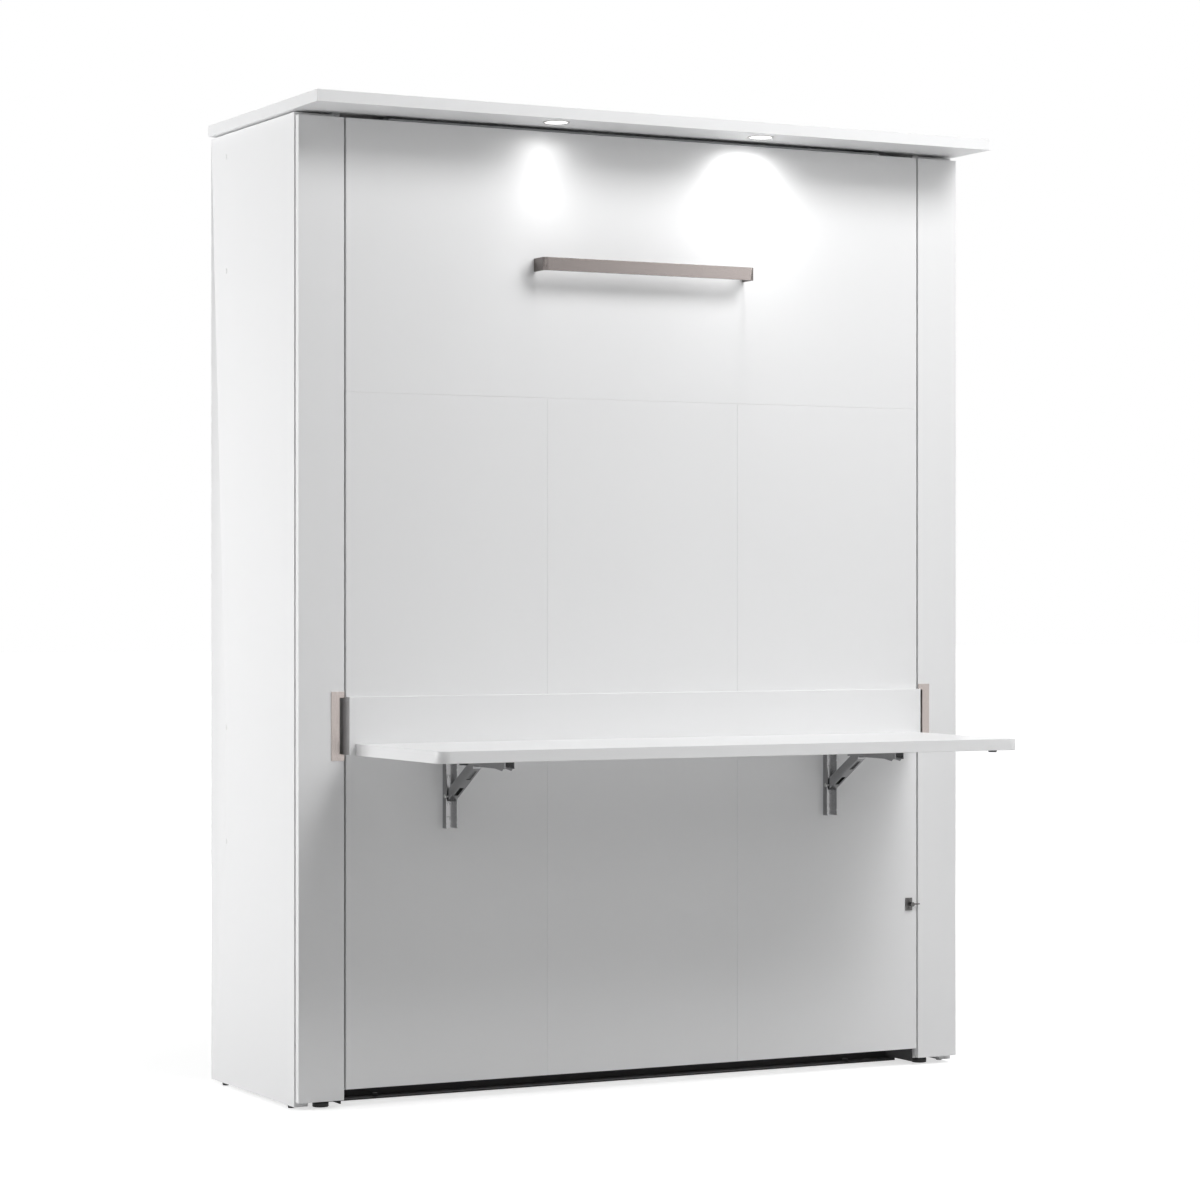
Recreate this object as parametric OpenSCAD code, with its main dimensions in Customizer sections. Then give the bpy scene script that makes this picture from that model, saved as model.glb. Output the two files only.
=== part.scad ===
// Wall bed with a fold down desk, closed, with the desk raised.
// X runs to the right, Y to the wall and Z up. The doors and the bed face share one front plane.

/* [Cabinet] */
// Width over the two side panels
case_w = 1660; // [1620:5:1720]
// Distance from the front plane to the rear edge of the side panels
case_d = 511; // [500:1:560]
// Height of the top edge of the side panels
side_top = 2120; // [2120:1:2121]
// Thickness of the cabinet boards
board_t = 16; // [15:0.5:18]
// Height of the nail glides that carry the side panels
glide_h = 6; // [5:0.5:7]
// Radius of a nail glide
glide_r = 8; // [6:1:10]
// Distance from the front plane to the front edge of the side panels
side_front = 24; // [23:0.5:26]
// Thickness of the crown board
crown_t = 25; // [20:1:30]
// Overhang of the crown in front of the front plane
crown_front = 128; // [112:1:150]
// Overhang of the crown past each side panel
crown_side = 11.5; // [6:0.5:20]
// Distance from the rear of the side panels to the rear edge of the crown
crown_back = 10; // [0:1:20]
// Shadow gap between the side panels and the crown
crown_gap = 3; // [2:0.5:3.5]
// Number of shelves in each compartment behind a door
shelf_count = 3; // [1:1:4]
// Height of the lower face of the compartment floor
floor_h = 14; // [13.5:0.5:18]
// Radius of a levelling foot
foot_r = 17.5; // [15:0.5:20]
// Distance from the front plane to the first row of levelling feet
foot_y = 49; // [45:1:80]

/* [Back rails] */
// Distance from the front plane to the front of the back rails
rail_y = 413; // [410:1:430]
// Height of the lower edge of the lower back rail
low_rail_z = 500; // [500:1:520]
// Width of each back rail board
back_rail_h = 346; // [300:1:360]
// Radius of a wall screw hole
wall_hole_r = 4; // [3:0.5:5]
// Spacing of the wall studs that the back rails are screwed to
stud_pitch = 406.4; // [400:0.1:610]
// Distance of a side screw from the edge of a back rail
side_screw_in = 46; // [40:1:60]
// Radius of a cover cap on a side panel
cap_r = 6; // [4:0.5:8]

/* [Lights] */
// Distance of a light from the middle of the crown
light_x = 257; // [220:1:300]
// Distance of the lights in front of the front plane
light_y = 76; // [70:1:90]
// Radius of the trim ring of a light
trim_r = 30; // [26:1:34]
// Radius of the lens of a light
lens_r = 25; // [20:1:25]

/* [Doors] */
// Width of a door
door_w = 104.8; // [100:0.1:106]
// Thickness of the doors and of the bed face
door_t = 16; // [15:0.5:16]
// Height of the lower edge of the doors
door_bottom = 17; // [15:0.5:20]
// Distance from the top of the side panels down to the top of the doors and of the bed face
front_drop = 8; // [7:0.5:12]
// Height of the plate of an edge pull
pull_h = 147; // [120:1:170]
// Width of the plate of an edge pull
pull_w = 30; // [24:1:34]
// Height of the middle of the edge pulls
pull_z = 814.5; // [780:0.5:900]
// Depth of the finger slot into the plate of an edge pull
slot_w = 11; // [8:0.5:12]
// Height of the finger slot
slot_h = 121; // [100:1:125]
// Radius of a hinge cup
cup_r = 17.5; // [17:0.5:18]

/* [Bed face] */
// Gap between the bed face and each door
face_gap = 4.5; // [3:0.5:8]
// Height of the lower edge of the bed face
face_bottom = 39.5; // [38:0.5:44]
// Height of the seam under the top panel
seam_z = 1527; // [1500:1:1550]
// Width of the seams between the face panels
seam_w = 0.6; // [0.4:0.1:2]
// Height of the middle of the pull bar
handle_z = 1817.5; // [1780:0.5:1850]
// Length of the pull bar
handle_w = 532; // [480:1:560]
// Offset of the pull bar to the left of the middle
handle_off = 8; // [0:1:12]
// Projection of the pull bar
handle_out = 50; // [40:1:60]
// Height of the strip that the pull bar is bent from
handle_h = 29; // [24:1:34]
// Thickness of that strip
handle_t = 5; // [4:0.5:6]
// Outer radius of the bends of the pull bar
handle_r = 11; // [9:0.5:14]

/* [Bed frame] */
// Distance from the front plane to the bed pivot
pivot_y = 105; // [103:0.5:106]
// Height of the bed pivot
pivot_z = 300; // [298:0.5:303]
// Radius of the bed pivot pins
pin_r = 8; // [6:0.5:10]
// Distance from a side edge of the bed face to the side rail behind it
frame_in = 30.7; // [28:0.1:36]
// Thickness of the bed frame boards
frame_t = 18; // [16:0.5:20]
// Depth of the bed frame behind the face
frame_d = 60; // [56:1:60]
// Distance from the lower edge of the bed face up to the bed frame
frame_low_in = 8.5; // [5:0.5:12]
// Distance from the upper edge of the bed face down to the bed frame
frame_high_in = 14; // [12:1:22]
// Number of slats
slat_count = 15; // [10:1:16]
// Width of a slat
slat_w = 53; // [40:1:60]
// Thickness of a slat
slat_t = 8; // [7:0.5:9]
// Height that a slat is bowed by
slat_bow = 6; // [3:0.5:6]
// Distance from the side of the bed frame to the mattress
mattress_side_in = 7; // [6:1:20]
// Distance from the lower end of the bed frame to the mattress
mattress_low_in = 60; // [50:1:80]
// Distance from the mattress to the upper end of the bed frame
mattress_high_in = 94; // [80:1:120]
// Thickness of the mattress at its edge
mattress_t = 196; // [160:1:200]
// Height that the middle of the mattress stands above its edge
mattress_crown = 10; // [4:1:12]

/* [Foot frame] */
// Thickness of the flat bar of the foot frame
foot_bar_t = 4; // [3:0.5:4]
// Width of the flat bar of the foot frame
foot_bar_w = 34; // [30:1:40]
// Distance from the side of the bed frame to the foot frame
foot_in = 70; // [50:1:140]
// Depth of the foot frame
foot_d = 243; // [230:1:244]

/* [Gas springs] */
// Lever arm of a gas spring behind the bed pivot
spring_arm = 80; // [70:1:90]
// Distance from the bed pivot to the upper end of a gas spring, to the wall
spring_back = 60; // [50:1:70]
// Distance from the bed pivot to the upper end of a gas spring, upwards
spring_up = 560; // [540:1:600]
// Radius of the cylinder of a gas spring
cylinder_r = 9; // [8:0.5:9.5]
// Radius of the rod of a gas spring
rod_r = 4; // [3:0.5:5]
// Length of the cylinder of a gas spring
cylinder_l = 300; // [280:1:310]

/* [Desk] */
// Distance from a side edge of the bed face to the end of the desktop
desk_in = 14.2; // [5:0.1:30]
// Distance from the front plane to the front edge of the desktop
desk_reach = 442; // [400:1:460]
// Height of the upper face of the desktop
desk_top = 777; // [760:1:790]
// Thickness of the desktop
desk_t = 25; // [22:0.5:28]
// Radius of the front corners of the desktop
desk_r = 27; // [15:1:60]
// Thickness of the desk back rail
back_t = 18; // [16:0.5:18]
// Height of the desk back rail above the desktop
back_h = 100; // [80:1:140]

/* [Folding brackets] */
// Distance of a folding bracket from the middle
bracket_x = 480.5; // [400:0.5:560]
// Width over the leg of a folding bracket
leg_w = 27; // [26:0.5:32]
// Depth of the leg of a folding bracket
leg_d = 18; // [17.5:0.5:20.5]
// Thickness of the sheet of the folding brackets
sheet_t = 1.6; // [1.2:0.1:1.8]
// Height of the lower end of a leg
leg_bottom = 590; // [580:1:600]
// Distance from the bed face to the desk pivot
hinge_y = 13.5; // [13.5:0.5:14.5]
// Distance from the underside of the desktop down to the desk pivot
hinge_drop = 13.5; // [13:0.5:14.5]
// Distance from the desk pivot down to the strut pivot
strut_drop = 79; // [76:0.5:82]
// Slope of a strut with the desk raised
strut_slope = 31; // [29:0.5:33]
// Distance of the upper end of a strut above the line of the desk pivot
strut_lift = 2; // [1:0.5:3]
// Distance from the desk pivot to the end of the arm
arm_l = 289.5; // [280:0.5:295]
// Depth of the side walls of an arm under the desktop
arm_depth = 22; // [18:0.5:23]

/* [Latch] */
// Distance of the latch from the right edge of the bed face
latch_in = 21.7; // [18:0.1:30]
// Height of the latch
latch_z = 376.5; // [360:0.5:400]

/* [Hidden] */
$fn = 48;
eps = 0.01;

// Clearances
run_fit = 0.05;   // a pin in its bore
seat_gap = 0.3;   // between curved faces of different bodies
leaf_gap = 0.3;   // between the nested sheets of a folding bracket
screw_gap = 0.5;  // a screw in its hole

// Cabinet
rail_drop = 4;    // from the top of the side panels down to the upper back rail
half_case = case_w / 2;
front_top = side_top - front_drop;
front_y = (desk_reach - case_d) / 2;
crown_z = side_top + crown_gap;
crown_rear = case_d - crown_back;
divider_x = half_case - door_w;              // inner edge of a door, and inner face of a divider
bay_w = half_case - board_t - divider_x - board_t;
low_screws = [low_rail_z + side_screw_in, low_rail_z + back_rail_h - side_screw_in];
high_rail_z = side_top - rail_drop - back_rail_h;
high_screws = [high_rail_z + side_screw_in, high_rail_z + back_rail_h - side_screw_in];
cap_y = rail_y + board_t / 2;
cap_t = 0.8;
glide_rear = case_d - 69;
foot_rows = [foot_y, rail_y - 22];
foot_x = divider_x + board_t + foot_r + 0.5;
foot_h = 10;
foot_round = 1;
foot_stem_r = 8;
glide_y = 60;
shelf_pitch = (front_top - floor_h - board_t) / (shelf_count + 1);
fixing_r = 2;

// Floor rail
floor_rail_y = pivot_y - 5;
floor_rail_h = 18;
floor_rail_t = 3;
floor_rail_w = 42;
floor_bolts = 1200;
floor_lug_h = 60;
floor_lug_hole = 40;

// Lights
trim_t = 1.8;
puck_depth = 12;

// Doors
door_axis_y = (door_t + side_front) / 2;
hinge_rows = [140, 1240, 1980];
cup_in = 22.5;
cup_depth = 11.5;
cup_flange_t = 1.2;
cup_flange = [16, 58];
arm_plate_h = 52;
arm_reach = 60;
arm_h = 22;
plate_t = 1.5;
pull_wall = 2;
pull_depth = 13;
pull_fit = 0.2;

// Bed
face_w = 2 * (divider_x - face_gap);
half_face = face_w / 2;
latch_x = half_face - latch_in;
frame_w = face_w - 2 * frame_in;
frame_bottom = face_bottom + frame_low_in;
frame_top = front_top - frame_high_in;
third = face_w / 3;
half_frame = frame_w / 2;
inner_frame = half_frame - frame_t;
frame_y1 = door_t + frame_d;
plate_x = half_frame + 4;                    // outer face of the pivot plates on the bed
boss_x = plate_x + 10;
wall_plate_x = divider_x - 4;                // inner face of the pivot plates on the dividers
spring_x = plate_x + (divider_x - plate_x) / 2 + 0.5;
tube_h = 40;
tube_d = 20;
tube_wall = 2;
desk_under = desk_top - desk_t;
tube_rows = [260, desk_under - 48, 1160, seam_z, handle_z];
slat_first = frame_bottom + 62;
slat_last = frame_top - 66;
slat_y = frame_y1 - 14;
holder_w = 17;
mattress_y = slat_y + slat_t + slat_bow + seat_gap;
mattress_w = frame_w - 2 * mattress_side_in;
mattress_z = frame_bottom + mattress_low_in;
mattress_l = frame_top - mattress_high_in - mattress_z;
pivot_plate = [90, 150];                     // size of a plate before its edge is rounded outwards
pivot_plate_r = 10;
pivot_plate_hole_r = 3;
pivot_reach = [56, 140];                     // of a bed plate along its side rail
pivot_ear_r = 13;
boss_wall = 6;

// Foot frame
foot_w = frame_w - 2 * foot_in;
foot_bar_z = front_top + 0.6;
foot_y0 = 2;
guide_l = 42;
guide_wall = 8;

// Gas springs, seen from the side, from the bed pivot
spring_top = [pivot_y + spring_back, pivot_z + spring_up];
spring_low = [pivot_y + spring_arm, pivot_z];
spring_run = norm(spring_low - spring_top);
spring_tilt = atan2(spring_low[0] - spring_top[0], spring_top[1] - spring_low[1]);
eye_r = 9;
eye_t = 8;
stud_r = 4;
anchor_plate = [24, 64];
anchor_r = 8;
anchor_t = 3;

// Desk, seen from the side: forward of the front plane is negative
desk_w = face_w - 2 * desk_in;
desk_back_y = back_t + 0.5;
pivot_o = [-hinge_y, desk_under - hinge_drop];
pivot_p = pivot_o - [0, strut_drop];
strut_l = (strut_drop + strut_lift) / sin(strut_slope);
arm_w = leg_w - 2 * sheet_t - 2 * leaf_gap;
strut_w = arm_w - 2 * sheet_t - 2 * leaf_gap;
bracket_pin_r = 3;
leg_top = pivot_o[1] + 9;
strut_low = 11;
strut_high = 10.5;
strut_tip = 4.5;
strut_pin_r = 2.5;
strut_slots = [[23, 35], [95, 38]];          // start and length of each, along the strut
strut_slot_w = 10;
flange_from = 86;
hook_at = arm_l - 15;
hook_depth = 4;
arm_screws = [60, 150, 240];                 // from the desk pivot along an arm
lever_in = 41;
lever_pin = [pivot_o[0] - arm_l + lever_in, desk_under - 8];
lever_pin_r = 2;

// Puts what is drawn from the front plane at its place in the part's frame
module placed() {
    translate([0, front_y, 0])
        children();
}

// The left-hand twin of a right-hand piece
module on(side) {
    if (side < 0)
        mirror([1, 0, 0]) children();
    else
        children();
}

// A board between two corners
module board(low, high) {
    translate(low)
        cube(high - low);
}

// A round bar along X from x0 to x1 at a point of the side view
module bar_x(x0, x1, at, r) {
    translate([x0, at[0], at[1]])
        rotate([0, 90, 0])
            cylinder(r = r, h = x1 - x0);
}

// A round bar along Y from y0 to y1
module bar_y(x, y0, y1, z, r) {
    translate([x, y0, z])
        rotate([-90, 0, 0])
            cylinder(r = r, h = y1 - y0);
}

// A side view shape, drawn in Y and Z, given a thickness along X from x0 to x1
module side_plate(x0, x1) {
    translate([x0, 0, 0])
        rotate([90, 0, 90])
            linear_extrude(x1 - x0)
                children();
}

// ---------------------------------------------------------------- cabinet

module side_panel(side) {
    color("white") placed() on(side)
        difference() {
            board([half_case - board_t, side_front, glide_h], [half_case, case_d, side_top]);
            for (z = concat(low_screws, high_screws))
                bar_x(half_case - board_t - eps, half_case + eps, [cap_y, z], fixing_r + screw_gap);
        }
}

module divider(side) {
    color("white") placed() on(side)
        board([divider_x, side_front, floor_h], [divider_x + board_t, rail_y, crown_z]);
}

// Floor, shelves and top of the narrow compartment behind a door
module shelves(side) {
    x0 = divider_x + board_t;
    color("white") placed() on(side) {
        board([x0, side_front, floor_h], [x0 + bay_w, rail_y, floor_h + board_t]);
        board([x0 + bay_w - board_t, side_front, glide_h], [x0 + bay_w, rail_y, floor_h + eps]);
        for (i = [1 : shelf_count])
            board([x0, side_front + 20, floor_h + i * shelf_pitch],
                  [x0 + bay_w, rail_y, floor_h + i * shelf_pitch + board_t]);
        board([x0, side_front, side_top - board_t], [x0 + bay_w, rail_y, side_top]);
    }
}

module crown() {
    color("white") placed()
        difference() {
            board([-half_case - crown_side, -crown_front, crown_z],
                  [half_case + crown_side, crown_rear, crown_z + crown_t]);
            for (s = [-1, 1])
                translate([s * light_x, -light_y, crown_z - eps])
                    cylinder(r = lens_r + 2, h = puck_depth + eps);
        }
}

module light_trims() {
    color("gainsboro") placed()
        for (s = [-1, 1])
            translate([s * light_x, -light_y, crown_z - trim_t])
                difference() {
                    union() {
                        cylinder(r1 = trim_r - 1, r2 = trim_r, h = trim_t);
                        cylinder(r = lens_r + 1.8, h = trim_t + puck_depth);
                    }
                    translate([0, 0, -eps])
                        cylinder(r = lens_r + 0.2, h = trim_t + puck_depth - 2);
                }
}

module light_lenses() {
    color("lightyellow") placed()
        for (s = [-1, 1])
            translate([s * light_x, -light_y, crown_z - trim_t + 0.6])
                cylinder(r = lens_r, h = 3);
}

// A board across the back, screwed to the side panels, the dividers and the wall
module back_rail(z0, holes_z) {
    color("white") placed()
        difference() {
            board([-half_case + board_t, rail_y, z0],
                  [half_case - board_t, rail_y + board_t, z0 + back_rail_h]);
            for (i = [-1.5 : 1 : 1.5])
                bar_y(i * stud_pitch, rail_y - eps, rail_y + board_t + eps, holes_z, wall_hole_r);
        }
}

// Black angle on the floor between the dividers, with its upright leg at the rear
module floor_rail() {
    y0 = floor_rail_y;
    y1 = y0 + floor_rail_w;
    color("dimgray") placed()
        difference() {
            union() {
                board([-divider_x, y1 - floor_rail_t, 0], [divider_x, y1, floor_rail_h]);
                board([-divider_x, y0, 0], [divider_x, y1, floor_rail_t]);
                for (s = [-1, 1])
                    on(s) {
                        board([divider_x - floor_rail_t, y0, 0], [divider_x, y1, floor_lug_h]);
                        board([divider_x - floor_rail_t, side_front, glide_h],
                              [divider_x, y1, floor_lug_h]);
                    }
            }
            for (s = [-1, 1])
                translate([s * floor_bolts / 2, y0 + floor_rail_w / 2, -eps])
                    cylinder(r = wall_hole_r, h = floor_rail_t + 2 * eps);
            for (s = [-1, 1])
                on(s)
                    bar_x(divider_x - floor_rail_t - eps, divider_x + eps,
                          [y0 + floor_rail_w / 2, floor_lug_hole], pivot_plate_hole_r);
        }
}

module nail_glides() {
    color("dimgray") placed()
        for (s = [-1, 1]) {
            for (y = [glide_y, glide_rear])
                translate([s * (half_case - board_t / 2), y, 0])
                    cylinder(r1 = glide_r - 1, r2 = glide_r, h = glide_h);
        }
}

// Round levelling feet under the compartment floors
module levelling_feet() {
    color("black") placed()
        for (s = [-1, 1], y = foot_rows)
            translate([s * foot_x, y, 0]) {
                cylinder(r1 = foot_r - foot_round, r2 = foot_r, h = foot_round);
                translate([0, 0, foot_round]) cylinder(r = foot_r, h = foot_h - foot_round);
                cylinder(r = foot_stem_r, h = floor_h);
            }
}

module cover_caps() {
    color("whitesmoke") placed()
        for (s = [-1, 1], z = concat(low_screws, high_screws))
            on(s) {
                bar_x(half_case, half_case + cap_t, [cap_y, z], cap_r);
                bar_x(half_case - 6, half_case + eps, [cap_y, z], fixing_r);
            }
}

// Steel plates on the dividers that hold the bed pivot pins
module pivot_plates() {
    color("gray") placed()
        for (s = [-1, 1])
            on(s)
                difference() {
                    side_plate(wall_plate_x, divider_x)
                        translate([pivot_y, pivot_z])
                            offset(r = pivot_plate_r) square(pivot_plate, center = true);
                    for (sy = [-1, 1], sz = [-1, 1])
                        bar_x(wall_plate_x - eps, divider_x + eps,
                              [pivot_y + sy * (pivot_plate[0] / 2 - 7),
                               pivot_z + sz * (pivot_plate[1] / 2 - 15)],
                              pivot_plate_hole_r);
                }
}

module pivot_pins() {
    color("silver") placed()
        for (s = [-1, 1])
            on(s) {
                bar_x(half_frame - 1, wall_plate_x, [pivot_y, pivot_z], pin_r);
                bar_x(half_frame - 3, half_frame - 1, [pivot_y, pivot_z], pin_r + 3);
            }
}

// Plate and stud on each divider that carry the upper end of a gas spring
module spring_anchors() {
    color("gray") placed()
        for (s = [-1, 1])
            on(s) {
                side_plate(divider_x - anchor_t, divider_x)
                    translate(spring_top)
                        offset(r = anchor_r) square(anchor_plate, center = true);
                bar_x(spring_x - eye_t / 2 - 2, divider_x - anchor_t + eps, spring_top, stud_r);
                bar_x(spring_x + eye_t / 2 + seat_gap, divider_x - anchor_t + eps, spring_top, stud_r + 3);
            }
}

// Arms of the concealed hinges, screwed to the side panels
module hinge_arms() {
    arm_x = half_case - board_t;
    y0 = door_t + cup_flange_t + seat_gap;
    color("silver") placed()
        for (s = [-1, 1], z = hinge_rows)
            on(s) {
                board([arm_x - 2, side_front + 8, z - arm_plate_h / 2],
                      [arm_x, side_front + arm_reach, z + arm_plate_h / 2]);
                side_plate(arm_x - arm_h / 2 - 2, arm_x - 2)
                    polygon([
                        [y0, z - arm_h / 2], [side_front + 34, z - arm_h / 2 + 2],
                        [side_front + arm_reach - 4, z - arm_h / 2 + 4],
                        [side_front + arm_reach - 4, z + arm_h / 2 - 4],
                        [side_front + 34, z + arm_h / 2 - 2], [y0, z + arm_h / 2]
                    ]);
            }
}

// ---------------------------------------------------------------- doors

module door(side) {
    cut_w = slot_w + pull_wall + pull_fit;
    cut_h = slot_h + 2 * (pull_wall + pull_fit);
    color("white") placed() on(side)
        difference() {
            board([divider_x, 0, door_bottom], [half_case, door_t, front_top]);
            board([divider_x - eps, -eps, pull_z - cut_h / 2],
                  [divider_x + cut_w, door_t + eps, pull_z + cut_h / 2]);
            for (z = hinge_rows)
                bar_y(half_case - cup_in - 2, door_t - cup_depth, door_t + eps, z, cup_r + pull_fit);
        }
}

// C-shaped plate on the door's front, with a liner around the finger slot
module edge_pull(side) {
    x0 = divider_x;
    wall_h = slot_h + 2 * pull_wall;
    color("rosybrown") placed() on(side) {
        difference() {
            board([x0, -plate_t, pull_z - pull_h / 2], [x0 + pull_w, 0, pull_z + pull_h / 2]);
            board([x0 - eps, -plate_t - eps, pull_z - slot_h / 2],
                  [x0 + slot_w, eps, pull_z + slot_h / 2]);
        }
        difference() {
            board([x0, 0, pull_z - wall_h / 2], [x0 + slot_w + pull_wall, pull_depth, pull_z + wall_h / 2]);
            board([x0 - eps, -eps, pull_z - slot_h / 2],
                  [x0 + slot_w, pull_depth + eps, pull_z + slot_h / 2]);
        }
    }
}

module hinge_cups(side) {
    color("silver") placed() on(side)
        for (z = hinge_rows) {
            bar_y(half_case - cup_in - 2, door_t - cup_depth, door_t, z, cup_r);
            translate([half_case - cup_in - 2, door_t, z])
                rotate([-90, 0, 0])
                    linear_extrude(cup_flange_t)
                        offset(r = 4) square(cup_flange, center = true);
        }
}

// ---------------------------------------------------------------- bed

module face_panel(x0, x1, z0, z1) {
    color("white") placed()
        board([x0, 0, z0], [x1, door_t, z1]);
}

module face_top_panel() {
    face_panel(-half_face, half_face, seam_z + seam_w / 2, front_top);
}

module face_low_panel(i) {
    x0 = -half_face + i * third;
    face_panel(x0 + (i > 0 ? seam_w / 2 : 0), x0 + third - (i < 2 ? seam_w / 2 : 0),
               face_bottom, seam_z - seam_w / 2);
}

module side_rail(side) {
    color("white") placed() on(side)
        board([inner_frame, door_t, frame_bottom], [half_frame, frame_y1, frame_top]);
}

module end_rail(z0) {
    color("white") placed()
        board([-inner_frame, door_t, z0], [inner_frame, frame_y1, z0 + frame_t]);
}

// Steel tubes that join the face panels to the frame
module cross_tubes() {
    color("dimgray") placed()
        for (z = tube_rows)
            translate([-inner_frame, door_t, z - tube_h / 2])
                difference() {
                    cube([2 * inner_frame, tube_d, tube_h]);
                    translate([-eps, tube_wall, tube_wall])
                        cube([2 * inner_frame + 2 * eps, tube_d - 2 * tube_wall, tube_h - 2 * tube_wall]);
                }
}

function slat_z(i) = slat_first + i * (slat_last - slat_first - slat_w) / (slat_count - 1);

// Bowed slats, each a strip between two arcs
module slats() {
    half_l = inner_frame - 4;
    steps = 10;
    arc = [for (i = [0 : steps]) let (u = 2 * i / steps - 1) [u * half_l, slat_bow * (1 - u * u)]];
    outline = concat(arc, [for (i = [steps : -1 : 0]) arc[i] + [0, slat_t]]);
    color("burlywood") placed()
        for (i = [0 : slat_count - 1])
            translate([0, slat_y, slat_z(i)])
                linear_extrude(slat_w)
                    polygon(outline);
}

// Sleeves on the side rails that hold the slat ends
module slat_holders() {
    wall = 2.5;
    color("black") placed()
        for (s = [-1, 1], i = [0 : slat_count - 1])
            on(s)
                difference() {
                    board([inner_frame - holder_w, slat_y - wall - 0.3, slat_z(i) - wall - 0.3],
                          [inner_frame, slat_y + slat_t + wall + 0.6, slat_z(i) + slat_w + wall + 0.3]);
                    board([inner_frame - holder_w - eps, slat_y - 0.3, slat_z(i) - 0.3],
                          [inner_frame - 3.5, slat_y + slat_t + 0.6, slat_z(i) + slat_w + 0.3]);
                }
}

// Rings of the mattress from its flat base to its crown: inset from the edge, and height
function mattress_rings() = concat(
    [[60, 0], [14, 0], [3, 5], [0, 14], [5, 20]],
    [[9, mattress_t / 2]],
    [[5, mattress_t - 20], [0, mattress_t - 14], [3, mattress_t - 5], [14, mattress_t]],
    [for (k = [0.1, 0.23, 0.44, 0.7, 0.94])
        [k * mattress_w / 2, mattress_t + mattress_crown * sin(90 * k)]]
);

// One ring: a rectangle with rounded corners, inset by d
function ring(d, y, r, per) = [
    for (c = [0 : 3], k = [0 : per])
        let (a = 90 * (c + k / per),
             rr = max(r - d, 20),
             cx = (c == 0 || c == 3 ? 1 : -1) * (mattress_w / 2 - d - rr),
             cz = (c < 2 ? 1 : -1) * (mattress_l / 2 - d - rr))
            [cx + rr * cos(a), y, cz + rr * sin(a)]
];

module mattress() {
    rings = mattress_rings();
    per = 5;
    n = 4 * (per + 1);
    last = len(rings) - 1;
    points = concat(
        [for (q = rings) each ring(q[0], q[1], 70, per)],
        [[0, 0, 0], [0, mattress_t + mattress_crown, 0]]
    );
    low = len(points) - 2;
    faces = concat(
        [for (j = [0 : last - 1], i = [0 : n - 1]) let (a = j * n + i, b = j * n + (i + 1) % n)
            each [[a, b, b + n], [a, b + n, a + n]]],
        [for (i = [0 : n - 1]) [low, (i + 1) % n, i]],
        [for (i = [0 : n - 1]) [low + 1, last * n + i, last * n + (i + 1) % n]]
    );
    color("ivory") placed()
        translate([0, mattress_y, mattress_z + mattress_l / 2])
            polyhedron(points, faces);
}

// Flat strip bent to a shallow U, seen from above, with both ends on the face
module pull_bar() {
    w = handle_w;
    p = handle_out;
    color("rosybrown") placed()
        translate([-w / 2 - handle_off, 0, handle_z - handle_h / 2])
            linear_extrude(handle_h)
                difference() {
                    union() {
                        translate([0, -p + handle_r]) square([w, p - handle_r]);
                        translate([handle_r, -p]) square([w - 2 * handle_r, handle_r + eps]);
                        for (x = [handle_r, w - handle_r])
                            translate([x, -p + handle_r]) circle(r = handle_r);
                    }
                    translate([handle_t, -p + handle_r]) square([w - 2 * handle_t, p]);
                    translate([handle_r, -p + handle_t]) square([w - 2 * handle_r, handle_r]);
                    for (x = [handle_r, w - handle_r])
                        translate([x, -p + handle_r]) circle(r = handle_r - handle_t);
                }
}

module desk_back_rail() {
    color("white") placed()
        board([-half_face, -back_t, desk_under + 0.5], [half_face, 0, desk_top + back_h]);
}

// Plates on the bed side rails: bore for the pivot pin, stud that faces the gas spring
module bed_pivot_plates() {
    color("gray") placed()
        for (s = [-1, 1])
            on(s)
                difference() {
                    union() {
                        side_plate(half_frame, plate_x) {
                            translate([frame_y1 - pivot_reach[0], pivot_z - pivot_reach[1] / 2])
                                square(pivot_reach);
                            hull() {
                                translate([frame_y1 - 30, pivot_z - 30]) square([10, 60]);
                                translate(spring_low) circle(r = pivot_ear_r);
                            }
                        }
                        bar_x(half_frame, boss_x, [pivot_y, pivot_z], pin_r + boss_wall);
                        bar_x(half_frame, spring_x - eye_t / 2 - 0.5, spring_low, stud_r);
                    }
                    bar_x(half_frame - eps, boss_x + eps, [pivot_y, pivot_z], pin_r + run_fit);
                }
}

// Guides on the foot rail in which the foot frame slides
module foot_guides() {
    z0 = frame_top;
    y0 = door_t + 1;
    bar_x0 = foot_w / 2 - foot_bar_w;
    color("gray") placed()
        for (s = [-1, 1])
            on(s)
                difference() {
                    board([bar_x0 - guide_wall, y0, z0],
                          [foot_w / 2 + guide_wall, y0 + guide_l, foot_bar_z + foot_bar_t + 2]);
                    board([bar_x0 - 0.4, y0 - eps, foot_bar_z - 0.3],
                          [foot_w / 2 + 0.4, y0 + guide_l + eps, foot_bar_z + foot_bar_t + 0.3]);
                    board([bar_x0 - guide_wall - eps, y0 - eps, foot_bar_z - 0.3],
                          [bar_x0, foot_y0 + foot_bar_w + 0.4, foot_bar_z + foot_bar_t + 0.3]);
                    board([bar_x0 + 4, y0 - eps, z0 + 3],
                          [foot_w / 2 - 4, y0 + guide_l + eps, foot_bar_z - 3]);
                }
}

// Flat-bar frame that slides out to stand the open bed on the floor
module foot_frame() {
    color("gray") placed()
        translate([-foot_w / 2, foot_y0, foot_bar_z])
            linear_extrude(foot_bar_t)
                difference() {
                    square([foot_w, foot_d]);
                    translate([foot_bar_w, foot_bar_w])
                        square([foot_w - 2 * foot_bar_w, foot_d]);
                }
}

// ---------------------------------------------------------------- latch

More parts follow.
